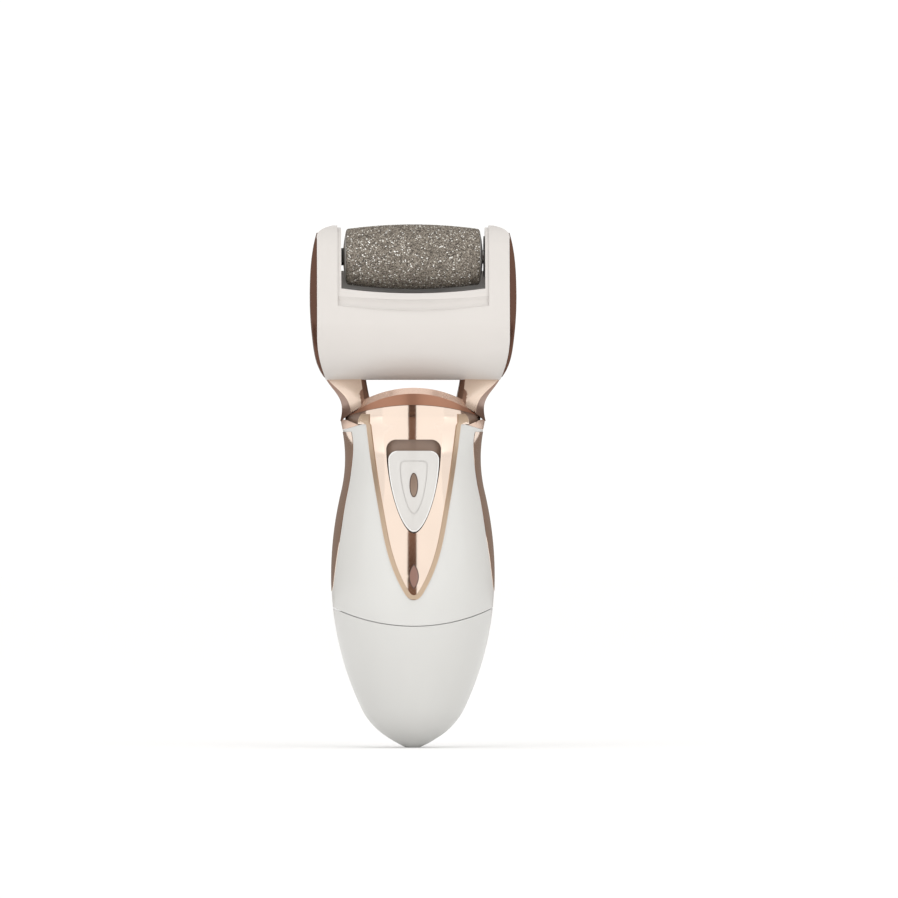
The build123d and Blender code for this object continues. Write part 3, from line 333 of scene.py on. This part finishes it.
WHITE = (0.535, 0.53, 0.512)
HEAD = (0.515, 0.488, 0.465)
ROSE = (0.83, 0.69, 0.59)
finishes = {
    "white_plastic": moulded("housing_white", WHITE, 0.3, coat=0.12),
    "cap_white": moulded("roller_cap_white", (0.68, 0.67, 0.65), 0.24, coat=0.3),
    "head_white": moulded("head_white", HEAD, 0.32, coat=0.1),
    "rose_gold_plating": plated("rose_gold", ROSE, 0.085),
    "cream_plastic": plated("rose_gold_satin", (0.80, 0.60, 0.49), 0.3),
    "brown_plastic": moulded("brown", (0.215, 0.145, 0.108), 0.38),
    "pearl_plastic": moulded("pearl", (0.50, 0.485, 0.465), 0.3, coat=0.2, mottle=0.03),
    "bronze": plated("bronze", (0.36, 0.27, 0.215), 0.3),
    "black_plastic": moulded("black", (0.02, 0.019, 0.018), 0.4),
    "lens": moulded("lens", (0.235, 0.135, 0.108), 0.16, coat=0.6, mottle=0.05),
    "led": moulded("led", (0.75, 0.74, 0.68), 0.12, coat=0.5),
    "board": moulded("board", (0.02, 0.12, 0.045), 0.35, mottle=0.15),
    "grey_plastic": moulded("grey", (0.3, 0.3, 0.295), 0.45),
    "cell": moulded("cell_sleeve", (0.07, 0.075, 0.09), 0.3, mottle=0.08),
    "spring_steel": drawn("spring_steel", (0.72, 0.71, 0.69), 0.22),
    "steel": drawn("zinc_steel", (0.62, 0.61, 0.59), 0.3),
    "motor_steel": drawn("motor_steel", (0.55, 0.54, 0.52), 0.33),
    "abrasive": grit("grit"),
    "brass": drawn("brass", (0.78, 0.60, 0.28), 0.25),
    "gear_plastic": moulded("acetal", (0.76, 0.75, 0.70), 0.42),
    "magnet": moulded("ferrite", (0.035, 0.033, 0.031), 0.6, mottle=0.2, grain=0.4, depth=0.00006),
    "wire": moulded("wire", (0.32, 0.02, 0.015), 0.45),
}
slots = {row["node"]: row["material_slot"] for row in frame["record"]["subparts"]}


def finish_with(obj, material):
    """Give an object one material on every face."""
    obj.data.materials.clear()
    obj.data.materials.append(material)


for name, node in nodes.items():
    finish_with(node, finishes[slots[name]])

# The lower cap is a shade darker than the shells above it
CAP_SHADE = 0.985
cap_finish = moulded("cap_white_lower", tuple(c * CAP_SHADE for c in WHITE), 0.31, coat=0.14)
finish_with(nodes["battery_cap"], cap_finish)

# Painted light and shade on the plating: where it faces the front or the top it takes a light, painted-lit
# copy of the rose gold, and on its flanks a deep bronze, painted-shade copy
rose_painted_lit = plated("rose_gold_painted_lit", (0.84, 0.68, 0.565), 0.24)
rose_painted_lit_arch = plated("rose_gold_painted_lit_arch", (0.76, 0.56, 0.46), 0.26)
rose_painted_shade = plated("rose_gold_painted_shade", (0.40, 0.205, 0.135), 0.34)
rose_painted_shade_flank = plated("rose_gold_painted_shade_flank", (0.30, 0.175, 0.125), 0.3)


def paint_lit_and_shaded(obj, light, shaded, axis, limit):
    """Painted light and shade by facing: faces whose normal goes past a limit along an axis take the light
    (painted lit) finish, the rest the deep (painted shade) one.
    """
    obj.data.materials.clear()
    obj.data.materials.append(shaded)
    obj.data.materials.append(light)
    for polygon in obj.data.polygons:
        polygon.material_index = 1 if polygon.normal.dot(Vector(axis)) > limit else 0


FRONT = (0, -1, 0)
TOP = (0, 0, 1)
CROWN_LIT_LIMIT = 0.25
STRUT_LIT_LIMIT = 0.72
# Crown faces that point up and strut faces that point to the front are painted lit, the rest painted shade
paint_lit_and_shaded(nodes["crown"], rose_painted_lit_arch, rose_painted_shade, TOP, CROWN_LIT_LIMIT)
for name in ("left_strut", "right_strut"):
    paint_lit_and_shaded(nodes[name], rose_painted_lit, rose_painted_shade_flank, FRONT, STRUT_LIT_LIMIT)

# Both side covers take a dark bronze finish, a painted dark reflection on their plating, and have softened
# edges
COVER_WELD = 1e-6
COVER_EDGE = 0.7 * MM
COVER_ANGLE = math.radians(40)
cover_painted_shade = plated("cover_painted_shade", (0.135, 0.072, 0.052), 0.28)
for name in ("drive_cover", "release_cover"):
    finish_with(nodes[name], cover_painted_shade)
    weld = nodes[name].modifiers.new("weld", "WELD")
    weld.merge_threshold = COVER_WELD
    edge = nodes[name].modifiers.new("edge", "BEVEL")
    edge.width = COVER_EDGE
    edge.segments = 4
    edge.limit_method = "ANGLE"
    edge.angle_limit = COVER_ANGLE

# ------------------------------------------------------------------ detail pieces


def node_tree(name):
    """Search tree of a CAD node's mesh."""
    mesh = nodes[name].data
    return BVHTree.FromPolygons([v.co for v in mesh.vertices], [p.vertices for p in mesh.polygons])


FAR_FRONT = -0.06
SEARCH_STEP = 0.25 * MM
SEARCH_ROUNDS = 18
EDGE_SHARE = 0.97


def front_y(tree, x, z):
    """Depth of the first surface met from the front at (x, z), or None."""
    hit = tree.ray_cast(Vector((x, FAR_FRONT, z)), Vector((0, 1, 0)))
    return None if hit[0] is None else hit[0].y


def half_width(tree, z, reach):
    """Largest x at which a node's front is met at a height."""
    inside, outside = 0.0, reach
    while front_y(tree, inside, z) is None and inside < reach:
        inside += SEARCH_STEP
    if inside >= reach:
        return None
    for _ in range(SEARCH_ROUNDS):
        middle = (inside + outside) / 2
        if front_y(tree, middle, z) is None:
            outside = middle
        else:
            inside = middle
    return inside


def mesh_piece(name, verts, faces, material, body, slot):
    """New flat-shaded piece that rides on a body. The slot argument is not used."""
    mesh = bpy.data.meshes.new(name)
    mesh.from_pydata(verts, [], faces)
    mesh.validate()
    mesh.polygons.foreach_set("use_smooth", [False] * len(mesh.polygons))
    mesh.materials.append(material)
    obj = linked(name, mesh)
    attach(obj, body)
    return obj


def tube(rows, around):
    """Points and faces of a tube whose sections are rows of points. It closes on itself or is capped."""
    size = len(rows[0])
    count = len(rows)
    faces = []
    for i in range(count if around else count - 1):
        n = (i + 1) % count
        for j in range(size):
            k = (j + 1) % size
            faces.append((i * size + j, i * size + k, n * size + k, n * size + j))
    if not around:
        faces.append(tuple(reversed(range(size))))
        faces.append(tuple(range((count - 1) * size, count * size)))
    return [p for row in rows for p in row], faces


def lifted(tree, x, z, height):
    """Point on a node's front at (x, z), raised along the radius from the upright axis."""
    y = front_y(tree, x, z)
    if y is None:
        y = front_y(tree, x * EDGE_SHARE, z)
    out = Vector((x, y, 0)).normalized()
    return Vector((x, y, z)) + out * height


# Bevelled border of the front panel, from the right ear down round the tip to the left ear
panel = node_tree("front_panel")
BORDER = 1.35 * MM
BORDER_TOP = 0.0955
BORDER_FOOT = 0.0425
BORDER_REACH = 0.018
BORDER_OUT = 0.05 * MM
BORDER_SUNK = 0.15 * MM
BORDER_RIM = 0.03 * MM
BORDER_CREST = 0.26 * MM
EAR_LOW = 0.0925
EAR_INNER = 12.6 * MM
TIP_TOP = 0.046
STEP = 0.0006
outline = []
height = BORDER_TOP
while height > BORDER_FOOT:
    outline.append((half_width(panel, height, BORDER_REACH), height))
    height -= STEP if height > TIP_TOP else STEP / 4
outline = [p for p in outline if p[0]]
right = []
for i, (x, z) in enumerate(outline):
    before = outline[max(0, i - 1)]
    after = outline[min(len(outline) - 1, i + 1)]
    along = Vector((after[0] - before[0], after[1] - before[1])).normalized()
    if z > EAR_LOW:
        inner = (EAR_INNER, z)
    else:
        inner = (x + along.y * BORDER, z - along.x * BORDER)
    right.append(((x - BORDER_OUT, z), inner))
right = [p for p in right if p[1][0] > 0]
path = right + [((-a[0], a[1]), (-b[0], b[1])) for a, b in reversed(right)]
rows = []
for outer, inner in path:
    rows.append([
        lifted(panel, *outer, -BORDER_SUNK), lifted(panel, *outer, BORDER_RIM),
        lifted(panel, *inner, BORDER_CREST), lifted(panel, *inner, -BORDER_SUNK),
    ])
border_finish = plated("rose_gold_border", (0.56, 0.425, 0.31), 0.36)
mesh_piece("panel_border", *tube(rows, around=False), border_finish, "handle", "rose_gold_plating")


def traced(tree, low, high, reach, step):
    """Right half of a front outline, from its top to its foot."""
    found = []
    z = high
    while z > low:
        x = half_width(tree, z, reach)
        if x:
            found.append((x, z))
        z -= step
    return found


RING_SUNK = 0.1 * MM
RING_STEPS = 90


def ring(name, node, margin, reach, inset, wide, raised, material, body, slot):
    """Thin raised line that follows the front outline of a node, all the way round."""
    tree = node_tree(node)
    low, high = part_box(node)
    right = traced(tree, low.z + margin, high.z - margin / 2, reach, (high.z - low.z) / RING_STEPS)
    loop = right + [(-x, z) for x, z in reversed(right)]
    rows = []
    for i, (x, z) in enumerate(loop):
        before = loop[i - 1]
        after = loop[(i + 1) % len(loop)]
        along = Vector((after[0] - before[0], after[1] - before[1])).normalized()
        inward = Vector((along.y, -along.x))
        edge = Vector((x, z)) + inward * inset
        inner = edge + inward * wide
        rows.append([
            lifted(tree, edge.x, edge.y, -RING_SUNK), lifted(tree, edge.x, edge.y, raised),
            lifted(tree, inner.x, inner.y, raised), lifted(tree, inner.x, inner.y, -RING_SUNK),
        ])
    mesh_piece(name, *tube(rows, around=True), material, body, slot)


outline_finish = moulded("outline_brown", (0.05, 0.028, 0.02), 0.35)
# Pale finish for the slider rim, a painted highlight
pearl_painted_highlight = moulded("pearl_rim_painted_highlight", (0.66, 0.655, 0.64), 0.25, coat=0.3)
ring("lens_outline", "indicator_lens", margin=0.15 * MM, reach=2.5 * MM, inset=0.02 * MM, wide=0.2 * MM,
     raised=0.05 * MM, material=outline_finish, body="handle", slot="lens")
ring("inlay_outline", "slider_inlay", margin=0.12 * MM, reach=2.5 * MM, inset=0.02 * MM, wide=0.2 * MM,
     raised=0.05 * MM, material=outline_finish, body="slider", slot="bronze")
# The slider's rim is a thin pale ring, a painted highlight along its edge
ring("slider_rim_highlight", "switch_slider", margin=0.12 * MM, reach=9.0 * MM, inset=0.05 * MM, wide=0.28 * MM,
     raised=0.07 * MM, material=pearl_painted_highlight, body="slider", slot="pearl_plastic")

# Gritty roller surface over the crowned sleeve
sleeve_low, sleeve_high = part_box("roller_sleeve")
ROLLER_Z = (sleeve_low.z + sleeve_high.z) / 2
ROLLER_HALF = sleeve_high.x
AROUND = 260
ALONG = 170
GRAIN = 0.075 * MM
BORE = 6.65 * MM
ABOVE = 0.03
END_GAP = 1e-5
sleeve = node_tree("roller_sleeve")


def sleeve_radius(x):
    """Outer radius of the sleeve at x."""
    hit = sleeve.ray_cast(Vector((x, 0, ROLLER_Z + ABOVE)), Vector((0, 0, -1)))
    return hit[0].z - ROLLER_Z


random.seed(7)
verts = []
for i in range(ALONG + 1):
    x = -ROLLER_HALF + 2 * ROLLER_HALF * i / ALONG
    radius = sleeve_radius(max(-ROLLER_HALF + END_GAP, min(ROLLER_HALF - END_GAP, x))) - GRAIN
    for j in range(AROUND):
        turn = 2 * math.pi * (j + 0.5 * (i % 2)) / AROUND
        r = radius + random.uniform(-GRAIN, GRAIN)
        verts.append((x, r * math.cos(turn), ROLLER_Z + r * math.sin(turn)))
faces = []
for i in range(ALONG):
    for j in range(AROUND):
        k = (j + 1) % AROUND
        faces.append((i * AROUND + j, i * AROUND + k, (i + 1) * AROUND + k, (i + 1) * AROUND + j))
first = len(verts)
for x in (-ROLLER_HALF, ROLLER_HALF):
    for j in range(AROUND):
        turn = 2 * math.pi * j / AROUND
        verts.append((x, BORE * math.cos(turn), ROLLER_Z + BORE * math.sin(turn)))
last = ALONG * AROUND
for j in range(AROUND):
    k = (j + 1) % AROUND
    faces.append((j, first + j, first + k, k))
    faces.append((last + k, first + AROUND + k, first + AROUND + j, last + j))
    faces.append((first + j, first + AROUND + j, first + AROUND + k, first + k))
grit_roller = mesh_piece("grit_roller", verts, faces, finishes["abrasive"], "roller", "abrasive")
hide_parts("roller_sleeve")

# ------------------------------------------------------------------ floor

FLOOR = 8.0
# Painted shade: the floor is coloured darker near the object than far off, to deepen its contact shadow
PAPER_NEAR_PAINTED_SHADE = (0.87, 0.87, 0.87, 1)
PAPER_FAR = (0.96, 0.96, 0.955, 1)
PAPER_SCALE = 600.0
PAPER_BUMP = 0.05
PAPER_DEPTH = 0.0001

floor_mesh = bpy.data.meshes.new("floor")
floor_mesh.from_pydata([(-FLOOR, -FLOOR, 0), (FLOOR, -FLOOR, 0), (FLOOR, FLOOR, 0), (-FLOOR, FLOOR, 0)], [],
                       [(0, 1, 2, 3)])
floor = linked("floor", floor_mesh)
paper = Surface("floor_paper", 0.9)
reach = paper.tree.nodes.new("ShaderNodeVectorMath")
reach.operation = "LENGTH"
paper.tree.links.new(paper.coords, reach.inputs[0])
# Painted shade: the darker near tone holds within 0.1 m of the object and rises to the far tone at 0.5 m
paper.ramp(reach.outputs["Value"], [(0.10, PAPER_NEAR_PAINTED_SHADE), (0.5, PAPER_FAR)], paper.shader.inputs["Base Color"])
paper.bump(paper.noise(PAPER_SCALE), PAPER_BUMP, PAPER_DEPTH)
finish_with(floor, paper.material)
